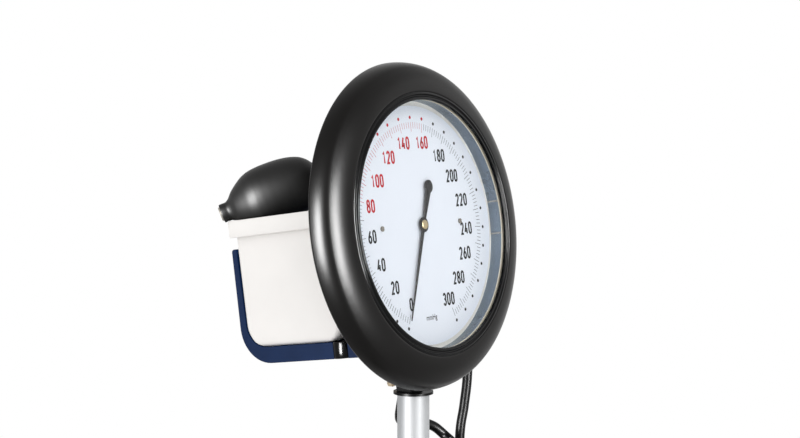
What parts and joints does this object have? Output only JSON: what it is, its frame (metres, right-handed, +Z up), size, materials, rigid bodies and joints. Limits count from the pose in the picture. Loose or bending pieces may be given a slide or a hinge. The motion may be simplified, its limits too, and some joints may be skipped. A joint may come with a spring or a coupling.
{
  "type": "aneroid sphygmomanometer on stand",
  "caption": "Large-dial aneroid blood pressure gauge with a basket holding its cuff and bulb, on a height-adjustable wheeled stand.",
  "frame": {"origin": "on the floor, on the axis of the pole", "axes": "+Z up the pole; the dial looks towards -Y and leans back; +X is to the right as the dial is read"},
  "size_m": [0.5836, 0.5551, 1.2929],
  "materials": {
    "black_nylon": "satin",
    "zinc_steel": "fine brushed",
    "satin_tube": "satin anodised",
    "black_knob": "satin",
    "gloss_black": "glossy",
    "black_metal": "satin",
    "brass": "polished",
    "navy": "fine matt texture",
    "ring_plastic": "satin",
    "window_glass": "clear",
    "seal_cream": "matt",
    "dial_white": "satin",
    "nickel_screw": "nickel",
    "seat_beige": "matt",
    "drum_grey": "satin",
    "pointer_black": "matt",
    "copper_tube": "drawn",
    "basket_white": "satin",
    "cuff_navy": "woven",
    "connector_white": "satin",
    "black_rubber": "satin",
    "black_hose": "glossy",
    "caster_tread": "matt"
  },
  "bodies": {
    "stand": {"star_base": "black_nylon", "hub_nut": "zinc_steel", "lower_tube": "satin_tube", "tube_bush": "black_nylon", "clamp_collar": "black_nylon"},
    "mast": {"upper_tube": "satin_tube", "pole_flange": "gloss_black", "head_bracket": "black_metal", "bracket_screw": "brass"},
    "head": {"pivot_pin": "zinc_steel", "pivot_caps": "gloss_black", "basket_cradle": "navy", "bezel_ring": "ring_plastic", "inner_bezel": "gloss_black", "window": "window_glass", "window_seal": "seal_cream", "dial_plate": "dial_white", "dial_screws": "nickel_screw", "dial_seat": "seat_beige", "case_drum": "drum_grey", "rear_cover": "black_metal", "case_screws": "nickel_screw", "hairspring": "zinc_steel", "capsule": "brass", "movement_plate": "brass", "movement_bridge": "brass", "pressure_port": "brass", "inner_tube": "copper_tube", "basket": "basket_white", "cuff": "cuff_navy", "cuff_connector": "connector_white", "bulb": "black_rubber", "bulb_end_valve": "nickel_screw", "valve_body": "nickel_screw", "bulb_hose": "black_hose", "hose_lead": "black_hose", "hose_coil": "black_hose", "hose_riser": "black_hose"},
    "pointer_body": {"pointer": "pointer_black", "pointer_cap": "brass", "pinion_arbor": "brass"},
    "sector_body": {"sector": "brass"},
    "link_body": {"link": "zinc_steel"},
    "rocker_body": {"rocker": "brass"},
    "stud_body": {"capsule_stud": "zinc_steel"},
    "release_body": {"release_screw": "nickel_screw"},
    "knob_body": {"clamp_knob": "black_knob"},
    "caster_1": {"caster_hood_1": "black_nylon"},
    "wheels_1": {"caster_wheels_1": "caster_tread"},
    "caster_2": {"caster_hood_2": "black_nylon"},
    "wheels_2": {"caster_wheels_2": "caster_tread"},
    "caster_3": {"caster_hood_3": "black_nylon"},
    "wheels_3": {"caster_wheels_3": "caster_tread"},
    "caster_4": {"caster_hood_4": "black_nylon"},
    "wheels_4": {"caster_wheels_4": "caster_tread"},
    "caster_5": {"caster_hood_5": "black_nylon"},
    "wheels_5": {"caster_wheels_5": "caster_tread"}
  },
  "joints": [
    {"name": "mast_slide", "type": "slide", "parent": "stand", "child": "mast", "axis": [0, 0, 1], "range_m": [-0.23, 0.1]},
    {"name": "head_tilt", "type": "hinge", "parent": "mast", "child": "head", "pos_m": [0, 0.0112, 1.07904], "axis": [1, 0, 0], "range_deg": [-12, 4]},
    {"name": "knob_turn", "type": "hinge", "parent": "stand", "child": "knob_body", "pos_m": [-0.027, 0, 0.6162], "axis": [-1, 0, 0], "range_deg": [0, 360]},
    {"name": "pointer_turn", "type": "hinge", "parent": "head", "child": "pointer_body", "pos_m": [0, -0.00809, 1.16846], "axis": [0, 0.99, -0.1409], "range_deg": [0, 315]},
    {"name": "sector_swing", "type": "hinge", "parent": "head", "child": "sector_body", "pos_m": [0, -0.00663, 1.14325], "axis": [0, -0.99, 0.1409], "range_deg": [0, 31.5], "stiffness_Nm_per_rad": 0.002},
    {"name": "link_slide", "type": "slide", "parent": "head", "child": "link_body", "axis": [0, 0.1409, 0.99], "range_m": [0, 0.00326]},
    {"name": "rocker_turn", "type": "hinge", "parent": "head", "child": "rocker_body", "pos_m": [0, -0.00323, 1.12029], "axis": [-1, 0, 0], "range_deg": [0, 37.25]},
    {"name": "stud_slide", "type": "slide", "parent": "head", "child": "stud_body", "axis": [0, -0.99, 0.1409], "range_m": [0, 0.00319]},
    {"name": "release_turn", "type": "hinge", "parent": "head", "child": "release_body", "pos_m": [-0.01329, 0.04951, 1.21551], "axis": [0.62, -0.6943, 0.3654], "range_deg": [0, 360]},
    {"name": "caster_swivel_1", "type": "hinge", "parent": "stand", "child": "caster_1", "pos_m": [0, 0.255, 0.0572], "axis": [0, 0, 1], "continuous": true},
    {"name": "wheel_roll_1", "type": "hinge", "parent": "caster_1", "child": "wheels_1", "pos_m": [0, 0.272, 0.025], "axis": [1, 0, 0], "continuous": true},
    {"name": "caster_swivel_2", "type": "hinge", "parent": "stand", "child": "caster_2", "pos_m": [-0.24252, 0.0788, 0.0572], "axis": [0, 0, 1], "continuous": true},
    {"name": "wheel_roll_2", "type": "hinge", "parent": "caster_2", "child": "wheels_2", "pos_m": [-0.25869, 0.08405, 0.025], "axis": [0.309, 0.9511, 0], "continuous": true},
    {"name": "caster_swivel_3", "type": "hinge", "parent": "stand", "child": "caster_3", "pos_m": [-0.14988, -0.2063, 0.0572], "axis": [0, 0, 1], "continuous": true},
    {"name": "wheel_roll_3", "type": "hinge", "parent": "caster_3", "child": "wheels_3", "pos_m": [-0.15988, -0.22005, 0.025], "axis": [-0.809, 0.5878, 0], "continuous": true},
    {"name": "caster_swivel_4", "type": "hinge", "parent": "stand", "child": "caster_4", "pos_m": [0.14988, -0.2063, 0.0572], "axis": [0, 0, 1], "continuous": true},
    {"name": "wheel_roll_4", "type": "hinge", "parent": "caster_4", "child": "wheels_4", "pos_m": [0.15988, -0.22005, 0.025], "axis": [-0.809, -0.5878, 0], "continuous": true},
    {"name": "caster_swivel_5", "type": "hinge", "parent": "stand", "child": "caster_5", "pos_m": [0.24252, 0.0788, 0.0572], "axis": [0, 0, 1], "continuous": true},
    {"name": "wheel_roll_5", "type": "hinge", "parent": "caster_5", "child": "wheels_5", "pos_m": [0.25869, 0.08405, 0.025], "axis": [0.309, -0.9511, 0], "continuous": true}
  ],
  "couplings": [
    {"joint": "pointer_turn", "follows": "sector_swing", "ratio": 10},
    {"joint": "link_slide", "follows": "sector_swing", "m_per_rad": 0.0059247},
    {"joint": "rocker_turn", "follows": "sector_swing", "ratio": 1.1824},
    {"joint": "stud_slide", "follows": "sector_swing", "m_per_rad": 0.0058085}
  ]
}
